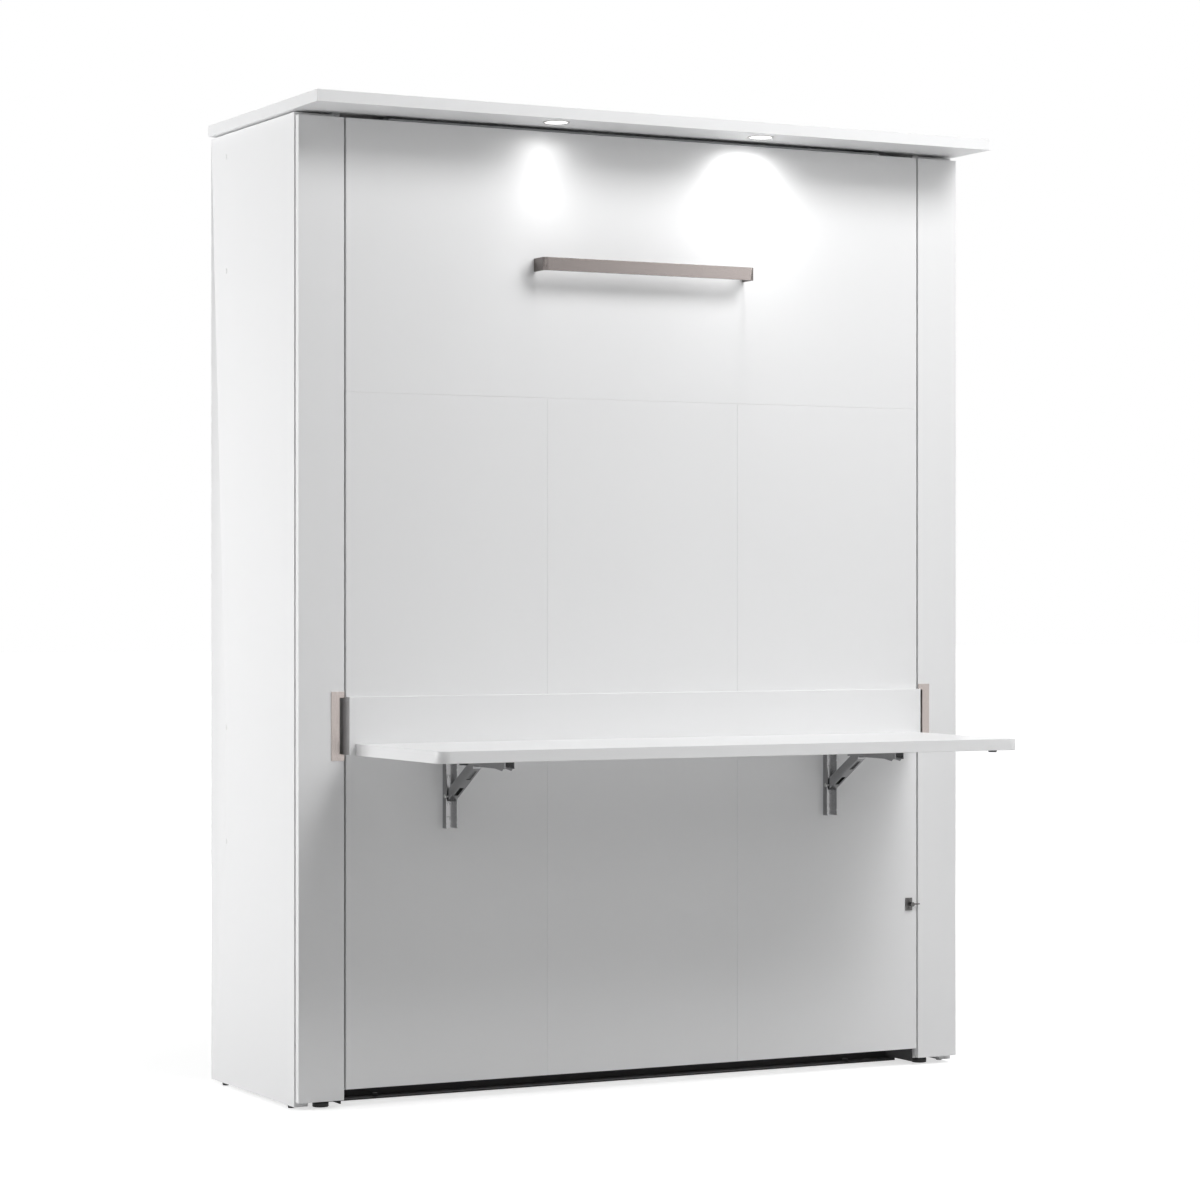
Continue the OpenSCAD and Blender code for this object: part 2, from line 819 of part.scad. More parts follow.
module latch_plate() {
    color("silver") placed()
        difference() {
            board([latch_x - 9, -2, latch_z - 14.5], [latch_x + 9, 0, latch_z + 14.5]);
            for (s = [-1, 1])
                bar_y(latch_x, -2 - eps, eps, latch_z + s * 10, 1.8);
        }
}

// Knob on a spindle, with a thin rod that reaches the edge of the door
module latch_lever() {
    color("dimgray") placed() {
        bar_y(latch_x + 4, -13, -2 - 0.2, latch_z, 5);
        bar_x(latch_x + 4, divider_x - 0.4, [-7, latch_z], 1.5);
    }
}

// ---------------------------------------------------------------- gas springs

// Turns children, drawn hanging from the origin along -Z, to the line of a gas spring
module along_spring(side) {
    color("dimgray") placed()
        translate([side * spring_x, spring_top[0], spring_top[1]])
            rotate([spring_tilt, 0, 0])
                children();
}

module spring_eye(z, hole) {
    translate([-eye_t / 2, 0, z])
        rotate([0, 90, 0])
            difference() {
                cylinder(r = eye_r, h = eye_t);
                translate([0, 0, -eps])
                    cylinder(r = hole, h = eye_t + 2 * eps);
            }
}

module gas_cylinder(side) {
    along_spring(side) {
        spring_eye(0, stud_r + run_fit);
        translate([0, 0, -24])
            cylinder(r = 4, h = 24 - eye_r + 1);
        difference() {
            translate([0, 0, -24 - cylinder_l])
                cylinder(r = cylinder_r, h = cylinder_l);
            translate([0, 0, -24 - cylinder_l - eps])
                cylinder(r = rod_r + run_fit, h = cylinder_l - 30);
        }
    }
}

module gas_rod(side) {
    along_spring(side) {
        spring_eye(-spring_run, stud_r + 0.5);
        translate([0, 0, -spring_run + eye_r - 1])
            cylinder(r = rod_r, h = spring_run - eye_r - cylinder_l + 100);
    }
}

// ---------------------------------------------------------------- folding brackets

// Leg: a channel that is open to the front, screwed to the face
module bracket_leg(side) {
    x0 = bracket_x - leg_w / 2;
    color("gray") placed() on(side)
        difference() {
            board([x0, -leg_d, leg_bottom], [x0 + leg_w, 0, leg_top]);
            board([x0 + sheet_t, -leg_d - eps, leg_bottom - eps],
                  [x0 + leg_w - sheet_t, -sheet_t, leg_top + eps]);
            for (z = [leg_bottom + 12, leg_top - 32])
                side_plate(x0 - eps, x0 + leg_w + eps)
                    translate([-leg_d, z]) circle(r = 2.2);
            for (z = [leg_bottom + 22, leg_bottom + 52, leg_top - 46])
                bar_y(bracket_x, -sheet_t - eps, eps, z, 2.5);
            for (p = [pivot_o, pivot_p])
                bar_x(x0 - eps, x0 + leg_w + eps, p, bracket_pin_r + run_fit);
        }
}

// Rivet pins through the legs, with domed heads outside
module bracket_pins() {
    x0 = bracket_x - leg_w / 2;
    color("silver") placed()
        for (s = [-1, 1], p = [pivot_o, pivot_p])
            on(s) {
                bar_x(x0 - 1.2, x0 + leg_w + 1.2, p, bracket_pin_r);
                bar_x(x0 - 1.6, x0, p, bracket_pin_r + 1.8);
                bar_x(x0 + leg_w, x0 + leg_w + 1.6, p, bracket_pin_r + 1.8);
            }
}

// Side view of an arm's flange: ear at the desk pivot, then the tapered flange with its hook
module arm_outline() {
    o = pivot_o;
    top = desk_under;
    hull() {
        translate(o) circle(r = 8.5);
        translate([o[0] - 18, top - 8]) square([10, 8]);
    }
    translate([o[0] - flange_from - 2, top - 8]) square([flange_from - 10, 8]);
    polygon([
        [o[0] - flange_from, top], [o[0] - flange_from - 4, top - arm_depth],
        [o[0] - hook_at + 31, top - arm_depth], [o[0] - hook_at, top - arm_depth - hook_depth],
        [o[0] - hook_at - 5, top - arm_depth], [o[0] - arm_l, top - arm_depth + 1], [o[0] - arm_l, top]
    ]);
}

// Arm: a channel that is open downwards, screwed under the desktop
module bracket_arm(side) {
    x0 = bracket_x - arm_w / 2;
    color("gray") placed() on(side)
        difference() {
            union() {
                for (x = [x0, x0 + arm_w - sheet_t])
                    side_plate(x, x + sheet_t) arm_outline();
                board([x0, pivot_o[0] - arm_l, desk_under - sheet_t],
                      [x0 + arm_w, -desk_back_y - 1, desk_under]);
                bar_x(x0 + eps, x0 + arm_w - eps, lever_pin, lever_pin_r);
            }
            bar_x(x0 - eps, x0 + arm_w + eps, pivot_o, bracket_pin_r + run_fit);
            for (y = arm_screws)
                translate([bracket_x, pivot_o[0] - y, desk_under - sheet_t - eps])
                    cylinder(r = 2.4, h = sheet_t + 2 * eps);
        }
}

// Side view of a strut along its own line, from its lower pivot
module strut_outline() {
    polygon([
        [-8, -strut_tip], [-3, -strut_low], [strut_l - 12, -strut_low], [strut_l, -strut_tip],
        [strut_l + strut_tip, 0], [strut_l, strut_tip], [strut_l - 9, strut_high - 1],
        [12, strut_high], [-2, strut_high], [-8, 4]
    ]);
}

// Strut: a channel whose web faces down, with two slots in the web
module strut(side) {
    x0 = -strut_w / 2;
    color("silver") placed() on(side)
        translate([bracket_x, pivot_p[0], pivot_p[1]])
            rotate([-strut_slope, 0, 0])
                mirror([0, 1, 0]) {
                    bar_x(x0 + sheet_t - eps, -x0 - sheet_t + eps, [strut_l - 1, 0], strut_pin_r);
                    difference() {
                        side_plate(x0, -x0) strut_outline();
                        side_plate(x0 + sheet_t, -x0 - sheet_t)
                            translate([-20, -strut_low + sheet_t])
                                square([strut_l + 40, 2 * strut_low + 20]);
                        for (slot = strut_slots)
                            board([-strut_slot_w / 2, slot[0], -strut_low - eps],
                                  [strut_slot_w / 2, slot[0] + slot[1], -strut_low + sheet_t + eps]);
                        bar_x(x0 - eps, -x0 + eps, [0, 0], bracket_pin_r + run_fit);
                    }
                }
}

// Black release lever in the end of an arm: it frees the strut when its tip is pressed up
module release(side) {
    o = lever_pin;
    tip = lever_in + 0.6;
    half = arm_w / 2 - sheet_t - leaf_gap;
    color("black") placed() on(side)
        difference() {
            side_plate(bracket_x - half, bracket_x + half)
                polygon([
                    [o[0] + 7, o[1] + 4], [o[0] - 8, o[1] + 4], [o[0] - 24, o[1] + 1.5],
                    [o[0] - tip, o[1] + 1.5], [o[0] - tip, o[1] - 7.5], [o[0] - tip + 11, o[1] - 7.5],
                    [o[0] - tip + 15, o[1] - 4], [o[0] - 8, o[1] - 5], [o[0] + 7, o[1] - 5]
                ]);
            bar_x(bracket_x - half - eps, bracket_x + half + eps, o, lever_pin_r + run_fit);
        }
}

// ---------------------------------------------------------------- desk

module desktop() {
    color("white") placed()
        translate([0, 0, desk_under])
            linear_extrude(desk_t)
                difference() {
                    translate([-desk_w / 2, -desk_reach]) square([desk_w, desk_reach - desk_back_y]);
                    for (s = [-1, 1])
                        translate([s * (desk_w / 2 - desk_r), -desk_reach + desk_r])
                            difference() {
                                translate([s > 0 ? 0 : -desk_r - 1, -desk_r - 1])
                                    square([desk_r + 1, desk_r + 1]);
                                circle(r = desk_r);
                            }
                }
}

module desk_pads() {
    color("black") placed()
        for (s = [-1, 1])
            translate([s * (desk_w / 2 - 62), -desk_reach + 16, desk_under - 4])
                cylinder(r1 = 9, r2 = 10, h = 4);
}

side_panel(-1);  // left_side_panel
side_panel(1);  // right_side_panel
divider(-1);  // left_divider
divider(1);  // right_divider
shelves(-1);  // left_shelves
shelves(1);  // right_shelves
crown();
light_trims();
light_lenses();
back_rail(high_rail_z, high_screws[0]);  // upper_back_rail
back_rail(low_rail_z, low_screws[1]);  // lower_back_rail
floor_rail();
nail_glides();
levelling_feet();
cover_caps();
pivot_plates();
pivot_pins();
spring_anchors();
hinge_arms();
door(-1);  // left_door
door(1);  // right_door
edge_pull(-1);  // left_edge_pull
edge_pull(1);  // right_edge_pull
hinge_cups(-1);  // left_hinge_cups
hinge_cups(1);  // right_hinge_cups
face_top_panel();
face_low_panel(0);  // face_left_panel
face_low_panel(1);  // face_middle_panel
face_low_panel(2);  // face_right_panel
side_rail(-1);  // left_side_rail
side_rail(1);  // right_side_rail
end_rail(frame_bottom);  // head_rail
end_rail(frame_top - frame_t);  // foot_rail
cross_tubes();
slats();
slat_holders();
mattress();
pull_bar();
desk_back_rail();
bracket_leg(-1);  // left_bracket_leg
bracket_leg(1);  // right_bracket_leg
bracket_pins();
bed_pivot_plates();
latch_plate();
foot_guides();
latch_lever();
foot_frame();
gas_cylinder(-1);  // left_gas_cylinder
gas_rod(-1);  // left_gas_rod
gas_cylinder(1);  // right_gas_cylinder
gas_rod(1);  // right_gas_rod
desktop();
bracket_arm(-1);  // left_bracket_arm
bracket_arm(1);  // right_bracket_arm
desk_pads();
strut(-1);  // left_strut
strut(1);  // right_strut
release(-1);  // left_release
release(1);  // right_release
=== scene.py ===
import math
import bpy
from mathutils import Matrix, Vector
from mathutils.bvhtree import BVHTree


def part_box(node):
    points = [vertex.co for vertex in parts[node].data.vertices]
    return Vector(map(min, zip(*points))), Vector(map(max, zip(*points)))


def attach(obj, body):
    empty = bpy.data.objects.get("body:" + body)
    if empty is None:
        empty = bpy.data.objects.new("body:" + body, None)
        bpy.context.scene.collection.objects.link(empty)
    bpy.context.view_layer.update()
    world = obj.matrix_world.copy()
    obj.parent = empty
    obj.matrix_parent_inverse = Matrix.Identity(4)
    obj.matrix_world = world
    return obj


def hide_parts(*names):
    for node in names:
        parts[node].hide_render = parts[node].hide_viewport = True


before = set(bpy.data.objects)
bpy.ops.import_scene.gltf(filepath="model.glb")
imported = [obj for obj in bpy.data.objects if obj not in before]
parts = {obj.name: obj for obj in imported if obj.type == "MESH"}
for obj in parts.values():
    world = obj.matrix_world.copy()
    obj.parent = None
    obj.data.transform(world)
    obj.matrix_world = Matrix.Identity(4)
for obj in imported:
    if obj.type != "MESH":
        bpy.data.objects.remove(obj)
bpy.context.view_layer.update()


# ---- Camera
# It stands 7.6 m from the bed, a little to the left, at the height of a seated eye. The verticals
# stay upright because it looks level, and it keeps the photograph's long lens.
camera = bpy.data.objects.new("camera", bpy.data.cameras.new("camera"))
bpy.context.scene.collection.objects.link(camera)
camera.location = (-3.5908, -6.7037, 1.0834)
camera.rotation_euler = (math.radians(90), 0, math.radians(-27.56))
camera.data.lens = 101.89
camera.data.sensor_width = 36
camera.data.clip_end = 200
bpy.context.scene.camera = camera
bpy.context.scene.view_settings.view_transform = "Standard"


# ---- Studio
# A pale floor that runs out to a white surround. The key lamp hangs high in front, so that the desk
# throws a long soft shadow down the bed face. One lamp stands left of the side panel, three more
# fill the front, and one behind is there for views from the back.
def toward(lamp, place, target):
    """Puts a lamp at a place and aims it at a target."""
    lamp.location = place
    lamp.rotation_euler = (Vector(target) - Vector(place)).to_track_quat("-Z", "Y").to_euler()


def broad_lamp(name, place, target, width, watts):
    """A square softbox, as wide as it is high."""
    data = bpy.data.lights.new(name, "AREA")
    data.shape = "RECTANGLE"
    data.size, data.size_y, data.energy = width, width, watts
    lamp = bpy.data.objects.new(name, data)
    bpy.context.scene.collection.objects.link(lamp)
    toward(lamp, place, target)


bed_middle = (0.0, 0.0, 1.1)
side_panel_middle = (-0.83, 0.2, 1.1)
broad_lamp("key_lamp", (1.3, -3.0, 4.7), bed_middle, 1.6, 86)
broad_lamp("side_lamp", (-4.2, 1.6, 1.6), side_panel_middle, 2.2, 110)
broad_lamp("front_lamp", (3.2, -4.2, 2.8), bed_middle, 1.5, 25)
broad_lamp("left_lamp", (-3.4, -4.6, 3.4), bed_middle, 2.2, 15)
broad_lamp("right_lamp", (2.4, -2.6, 4.2), bed_middle, 2.0, 70)
broad_lamp("rear_lamp", (2.6, 5.2, 2.8), bed_middle, 2.6, 90)


def seen_directly(tree):
    """A number that is 1 where the camera, a shiny or a clear surface looks, and else 0."""
    path = tree.nodes.new("ShaderNodeLightPath")
    glossy = tree.nodes.new("ShaderNodeMath")
    glossy.operation = "MAXIMUM"
    tree.links.new(path.outputs["Is Camera Ray"], glossy.inputs[0])
    tree.links.new(path.outputs["Is Glossy Ray"], glossy.inputs[1])
    both = tree.nodes.new("ShaderNodeMath")
    both.operation = "MAXIMUM"
    tree.links.new(glossy.outputs[0], both.inputs[0])
    tree.links.new(path.outputs["Is Transmission Ray"], both.inputs[1])
    return both.outputs[0]


world = bpy.data.worlds.new("surround")
bpy.context.scene.world = world
world.use_nodes = True
world.node_tree.nodes["Background"].inputs["Color"].default_value = (1, 1, 1, 1)
tree = world.node_tree
brightness = tree.nodes.new("ShaderNodeMapRange")
brightness.inputs["To Min"].default_value = 0.10
brightness.inputs["To Max"].default_value = 1.0
tree.links.new(seen_directly(tree), brightness.inputs["Value"])
tree.links.new(brightness.outputs[0], tree.nodes["Background"].inputs["Strength"])

bpy.ops.object.select_all(action="DESELECT")
bpy.ops.mesh.primitive_plane_add(size=120, location=(0, 0, -0.0005))
floor = bpy.context.object
floor.name = "studio_floor"
floor_paint = bpy.data.materials.new("studio_floor")
floor_paint.use_nodes = True
tree = floor_paint.node_tree
paint_shader = tree.nodes["Principled BSDF"]
paint_shader.inputs["Base Color"].default_value = (0.66, 0.66, 0.66, 1)
paint_shader.inputs["Roughness"].default_value = 0.9
paint_shader.inputs["Specular IOR Level"].default_value = 0.1
lift = tree.nodes.new("ShaderNodeEmission")
spot_on_floor = tree.nodes.new("ShaderNodeTexCoord")
reach = tree.nodes.new("ShaderNodeVectorMath")
reach.operation = "LENGTH"
tree.links.new(spot_on_floor.outputs["Object"], reach.inputs[0])
fade = tree.nodes.new("ShaderNodeMapRange")
fade.inputs["From Min"].default_value = 1.2
fade.inputs["From Max"].default_value = 4.0
fade.inputs["To Min"].default_value = 0.62
fade.inputs["To Max"].default_value = 1.0
tree.links.new(reach.outputs["Value"], fade.inputs["Value"])
lift_level = tree.nodes.new("ShaderNodeMath")
lift_level.operation = "MULTIPLY"
tree.links.new(seen_directly(tree), lift_level.inputs[0])
tree.links.new(fade.outputs[0], lift_level.inputs[1])
tree.links.new(lift_level.outputs[0], lift.inputs["Strength"])
lifted_paint = tree.nodes.new("ShaderNodeAddShader")
tree.links.new(paint_shader.outputs[0], lifted_paint.inputs[0])
tree.links.new(lift.outputs[0], lifted_paint.inputs[1])
tree.links.new(lifted_paint.outputs[0], tree.nodes["Material Output"].inputs["Surface"])
floor.data.materials.append(floor_paint)


# ---- Cabinet boards
# Side panels, dividers, shelves, back rails and crown of particle board in a white melamine
# face with a fine pearl. Their edges are taped, and broken with a file by less than a millimetre.
def finish(name, colour, rough, metallic=0.0):
    """A new material with its plain colour, roughness and metal set on the shader itself."""
    made = bpy.data.materials.new(name)
    made.use_nodes = True
    shader = made.node_tree.nodes["Principled BSDF"]
    shader.inputs["Base Color"].default_value = (*colour, 1)
    shader.inputs["Roughness"].default_value = rough
    shader.inputs["Metallic"].default_value = metallic
    return made


def texture(made, scale, stretch=(1, 1, 1), tint=0.0, rough=0.0, bump=0.0, depth=0.0002, detail=4):
    """Grain that runs through a piece: it varies the colour, the roughness and the height."""
    tree = made.node_tree
    shader = tree.nodes["Principled BSDF"]
    place = tree.nodes.new("ShaderNodeTexCoord")
    mapping = tree.nodes.new("ShaderNodeMapping")
    mapping.inputs["Scale"].default_value = stretch
    noise = tree.nodes.new("ShaderNodeTexNoise")
    noise.inputs["Scale"].default_value = scale
    noise.inputs["Detail"].default_value = detail
    tree.links.new(place.outputs["Object"], mapping.inputs["Vector"])
    tree.links.new(mapping.outputs[0], noise.inputs["Vector"])
    if tint:
        colour = shader.inputs["Base Color"].default_value
        mix = tree.nodes.new("ShaderNodeMix")
        mix.data_type = "RGBA"
        mix.inputs["A"].default_value = (*[c * (1 - tint) for c in colour[:3]], 1)
        mix.inputs["B"].default_value = (*[min(1, c * (1 + tint)) for c in colour[:3]], 1)
        if shader.inputs["Base Color"].links:
            earlier = shader.inputs["Base Color"].links[0].from_socket
            mix.blend_type = "MULTIPLY"
            mix.inputs["Factor"].default_value = 1
            shade = tree.nodes.new("ShaderNodeMapRange")
            shade.inputs["To Min"].default_value = 1 - 2 * tint
            tree.links.new(noise.outputs["Fac"], shade.inputs["Value"])
            tree.links.new(earlier, mix.inputs["A"])
            tree.links.new(shade.outputs[0], mix.inputs["B"])
        else:
            tree.links.new(noise.outputs["Fac"], mix.inputs["Factor"])
        tree.links.new(mix.outputs["Result"], shader.inputs["Base Color"])
    if rough:
        level = tree.nodes.new("ShaderNodeMapRange")
        base = shader.inputs["Roughness"].default_value
        level.inputs["To Min"].default_value = max(0.02, base - rough)
        level.inputs["To Max"].default_value = min(1, base + rough)
        tree.links.new(noise.outputs["Fac"], level.inputs["Value"])
        tree.links.new(level.outputs[0], shader.inputs["Roughness"])
    if bump:
        height = tree.nodes.new("ShaderNodeBump")
        height.inputs["Strength"].default_value = bump
        height.inputs["Distance"].default_value = depth
        tree.links.new(noise.outputs["Fac"], height.inputs["Height"])
        if shader.inputs["Normal"].links:
            tree.links.new(shader.inputs["Normal"].links[0].from_socket, height.inputs["Normal"])
        tree.links.new(height.outputs[0], shader.inputs["Normal"])


def dress(names, made):
    """Puts one finish on the CAD nodes of these names."""
    for name in names:
        piece = parts[name]
        if not piece.material_slots:
            piece.data.materials.append(made)
        for held in piece.material_slots:
            held.material = made


def break_edges(names, width, segments=2):
    """Rounds the sharp edges of these CAD nodes a little, as a file or a press leaves them."""
    for name in names:
        joined = parts[name].modifiers.new("joined", "WELD")
        joined.merge_threshold = 0.000005
        flat = parts[name].modifiers.new("flat", "DECIMATE")
        flat.decimate_type = "DISSOLVE"
        flat.angle_limit = math.radians(0.5)
        edge = parts[name].modifiers.new("edge", "BEVEL")
        edge.width = width
        edge.segments = segments
        edge.limit_method = "ANGLE"
        edge.angle_limit = math.radians(50)
        edge.harden_normals = True
        for step in (joined, flat, edge):
            step.show_viewport = False      # shown once, at the end, as each tool would rerun them


melamine = finish("white_melamine", (0.86, 0.862, 0.866), 0.42)
texture(melamine, 1.3, tint=0.006, detail=2)
texture(melamine, 900, rough=0.05, bump=0.12, depth=0.00008)
boards = ["left_side_panel", "right_side_panel", "left_divider", "right_divider", "left_shelves",
          "right_shelves", "upper_back_rail", "lower_back_rail", "crown"]
dress(boards, melamine)
break_edges(boards, 0.0007)


# ---- Cover caps
# Small moulded plastic plugs, pressed into the side panels over the screws of the back rails. Their
# colour is a shade duller than the melamine.
plug_white = finish("cap_plastic", (0.84, 0.84, 0.84), 0.38)
texture(plug_white, 1500, tint=0.01, rough=0.05, bump=0.1, depth=0.00005)
dress(["cover_caps"], plug_white)
break_edges(["cover_caps"], 0.0003)


# ---- Crown lights
# Two recessed lights: a thin ring pressed into the underside of the crown around a frosted
# lens that glows. Each throws a soft pool on the bed face, and a weak wide glow around it.
ring = finish("light_ring", (0.62, 0.62, 0.61), 0.3, 0.6)
texture(ring, 1200, tint=0.02, rough=0.06, bump=0.1, depth=0.00005)
dress(["light_trims"], ring)
break_edges(["light_trims"], 0.0003)
lens = finish("light_lens", (1.0, 0.985, 0.96), 0.35)
texture(lens, 2400, tint=0.01, rough=0.08, bump=0.25, depth=0.0001)
lens_shader = lens.node_tree.nodes["Principled BSDF"]
lens_shader.inputs["Emission Color"].default_value = (1, 0.985, 0.96, 1)
lens_shader.inputs["Emission Strength"].default_value = 1.6
dress(["light_lenses"], lens)
low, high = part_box("light_lenses")
lens_r = (high.y - low.y) / 2
face_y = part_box("face_top_panel")[0].y
below_lens, glow_cone, beam_drop, glow_drop = 0.006, 172, 0.300, 0.9
for side, x, beam_watts, beam_cone, glow_watts in (("left", low.x + lens_r, 0.50, 66, 0.9),
                                                   ("right", high.x - lens_r, 1.2, 80, 3.2)):
    lens_at = Vector((x, low.y + lens_r, low.z - below_lens))
    for kind, strength, angle, drop in (("beam", beam_watts, beam_cone, beam_drop),
                                        ("glow", glow_watts, glow_cone, glow_drop)):
        data = bpy.data.lights.new(side + "_" + kind, "SPOT")
        data.energy = strength
        data.spot_size = math.radians(angle)
        data.spot_blend = 1.0
        data.shadow_soft_size = 0.024
        spot = bpy.data.objects.new(side + "_" + kind, data)
        bpy.context.scene.collection.objects.link(spot)
        spot.visible_glossy = kind == "glow" and side == "right"
        toward(spot, lens_at, (x, face_y, lens_at.z - drop))


# ---- Floor rail and pivot plates
# The floor rail is an angle of black powder coated steel. The plates and anchors that carry the bed
# and its springs are coated grey, as the foot frame is. Pins, hinges and rivets are nickel plated.
black_coat = finish("black_powder_coat", (0.09, 0.09, 0.092), 0.7)
black_coat.node_tree.nodes["Principled BSDF"].inputs["Specular IOR Level"].default_value = 0.15
texture(black_coat, 1400, tint=0.15, rough=0.08, bump=0.5, depth=0.0001)
dress(["floor_rail"], black_coat)
break_edges(["floor_rail"], 0.0004)
grey_coat = finish("grey_powder_coat", (0.30, 0.31, 0.32), 0.48)
texture(grey_coat, 1400, tint=0.05, rough=0.08, bump=0.5, depth=0.0001)
coated_parts = ["pivot_plates", "spring_anchors", "bed_pivot_plates", "foot_guides", "foot_frame"]
dress(coated_parts, grey_coat)
break_edges(coated_parts, 0.0003)
nickel = finish("nickel_plate", (0.60, 0.60, 0.59), 0.26, 1.0)
texture(nickel, 260, tint=0.03, rough=0.07)
plated_parts = ["pivot_pins", "hinge_arms", "left_hinge_cups", "right_hinge_cups", "bracket_pins"]
dress(plated_parts, nickel)
break_edges(plated_parts, 0.0003)


# ---- Cabinet screws
# Pan head screws with a pressed cross hold the pivot plates, the spring anchors and the hinge
# arms to the boards. Hexagon bolts on washers hold the floor rail, and large screws the back rails.
def draw(adding, **sizes):
    """Adds one primitive with nothing else selected, and returns it with its place applied."""
    bpy.ops.object.select_all(action="DESELECT")
    adding(**sizes)
    bpy.ops.object.transform_apply(location=True, rotation=True, scale=True)
    return bpy.context.object


def pick_faces(piece, wanted):
    """Goes to edit mode with only those faces selected that wanted(face) says."""
    bpy.ops.object.mode_set(mode="EDIT")
    bpy.ops.mesh.select_mode(type="FACE")
    bpy.ops.mesh.select_all(action="DESELECT")
    bpy.ops.object.mode_set(mode="OBJECT")
    for side in piece.data.polygons:
        side.select = wanted(side)
    bpy.ops.object.mode_set(mode="EDIT")


def screw_head(radius, height, made):
    """A round head that stands on the origin and looks up, with a cross pressed into it."""
    head = draw(bpy.ops.mesh.primitive_cylinder_add, vertices=28, radius=radius, depth=height,
                location=(0, 0, height / 2))
    pick_faces(head, lambda side: side.normal.z > 0.9)
    bpy.ops.mesh.bevel(offset=height * 0.6, segments=3, affect="EDGES")
    bpy.ops.object.mode_set(mode="OBJECT")
    for wide, deep in ((1.1, 0.22), (0.22, 1.1)):
        slit = draw(bpy.ops.mesh.primitive_cube_add, size=1, location=(0, 0, height),
                    scale=(radius * wide, radius * deep, height * 0.9))
        cut = head.modifiers.new("cross", "BOOLEAN")
        cut.operation = "DIFFERENCE"
        cut.solver = "EXACT"
        cut.object = slit
        bpy.context.view_layer.objects.active = head
        bpy.ops.object.modifier_apply(modifier="cross")
        bpy.data.objects.remove(slit)
    head.data.materials.append(made)
    return head


def fasten(name, pattern, seats, body):
    """Sets a copy of the head on each seat, a point and the way it faces, as one piece."""
    bpy.ops.object.select_all(action="DESELECT")
    for point, facing in seats:
        piece = bpy.data.objects.new(name, pattern.data.copy())
        bpy.context.scene.collection.objects.link(piece)
        turn = Vector(facing).to_track_quat("Z", "Y").to_matrix().to_4x4()
        piece.data.transform(Matrix.Translation(point) @ turn)
        piece.select_set(True)
    bpy.context.view_layer.objects.active = piece
    bpy.ops.object.join()
    piece.name = name
    bpy.ops.object.shade_smooth_by_angle(angle=math.radians(40))
    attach(piece, body)


pan_head = screw_head(0.0045, 0.0022, nickel)
flat_head = screw_head(0.0042, 0.0006, nickel)
black_head = screw_head(0.0042, 0.0006, black_coat)
wall_head = screw_head(0.0070, 0.0032, nickel)
sides = (-1, 1)
front_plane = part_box("left_door")[0].y

low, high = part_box("pivot_plates")
pivot_at = (low + high) / 2
pivot_plate_t, anchor_t = 0.004, 0.003
plate_seats = [((side * (high.x - pivot_plate_t), pivot_at.y + dy, pivot_at.z + dz), (-side, 0, 0))
               for side in sides for dy in (-0.038, 0.038) for dz in (-0.060, 0.060)]
low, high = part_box("spring_anchors")
anchor_at = (low + high) / 2
plate_seats += [((side * (high.x - anchor_t), anchor_at.y, anchor_at.z + dz), (-side, 0, 0))
                for side in sides for dz in (-0.029, 0.029)]
fasten("pivot_plate_screws", pan_head, plate_seats, "cabinet")

hinge_heights = (0.140, 1.240, 1.980)
hinge_sheet, arm_screw_y = 0.002, 0.047
low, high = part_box("hinge_arms")
arm_seats = [((side * (high.x - hinge_sheet), low.y + arm_screw_y, z + dz), (-side, 0, 0))
             for side in sides for z in hinge_heights for dz in (-0.018, 0.018)]
fasten("hinge_arm_screws", pan_head, arm_seats, "cabinet")

rail_sheet, rail_half, lug_screw_z, bolt_x = 0.003, 0.021, 0.040, 0.600
low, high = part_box("floor_rail")
rail_middle = high.y - rail_half
fasten("rail_lug_screws", black_head,
       [((side * (high.x - rail_sheet), rail_middle, lug_screw_z), (-side, 0, 0))
        for side in sides], "cabinet")


def bolt_disc(corners, radius, height, middle_z, broken):
    """A flat disc or hexagon around the Z axis, with the rim of its top broken."""
    disc = draw(bpy.ops.mesh.primitive_cylinder_add, vertices=corners, radius=radius, depth=height,
                location=(0, 0, middle_z))
    pick_faces(disc, lambda side: side.normal.z > 0.9)
    bpy.ops.mesh.bevel(offset=broken, segments=2, affect="EDGES")
    bpy.ops.object.mode_set(mode="OBJECT")
    return disc


bolt = bolt_disc(6, 0.0075, 0.0053, 0.0042, 0.0009)
washer = bolt_disc(32, 0.0085, 0.0016, 0.0008, 0.0004)
washer.select_set(True)
bolt.select_set(True)
bpy.context.view_layer.objects.active = bolt
bpy.ops.object.join()
bolt.data.materials.append(black_coat)
fasten("floor_bolts", bolt,
       [((side * bolt_x, rail_middle, rail_sheet), (0, 0, 1)) for side in sides],
       "cabinet")

stud_pitch = 0.4064                             # the distance between the studs in a wall
wall_screw_height = 0.046
wall_seats = []
for rail in ("upper_back_rail", "lower_back_rail"):
    low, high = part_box(rail)
    wall_seats += [((step * stud_pitch, low.y, low.z + wall_screw_height), (0, -1, 0))
                   for step in (-1.5, -0.5, 0.5, 1.5)]
fasten("wall_screws", wall_head, wall_seats, "cabinet")


# ---- Glides and feet
# Glides of black polyethylene are nailed under the boards, and round feet on screws stand under
# the bays behind the doors. The slat sleeves and the desk's pads are moulded of the same plastic.
glide = finish("glide_plastic", (0.016, 0.016, 0.017), 0.55)
texture(glide, 1600, tint=0.1, rough=0.08, bump=0.3, depth=0.0001)
dress(["nail_glides", "levelling_feet", "slat_holders", "desk_pads"], glide)
break_edges(["nail_glides", "levelling_feet", "desk_pads"], 0.0006)


# ---- Doors
# Two narrow doors of the cabinet's own board, which look like pilasters beside the bed face. Each
# swings on concealed hinges, whose cups are let into its back.
dress(["left_door", "right_door"], melamine)
break_edges(["left_door", "right_door"], 0.0007)


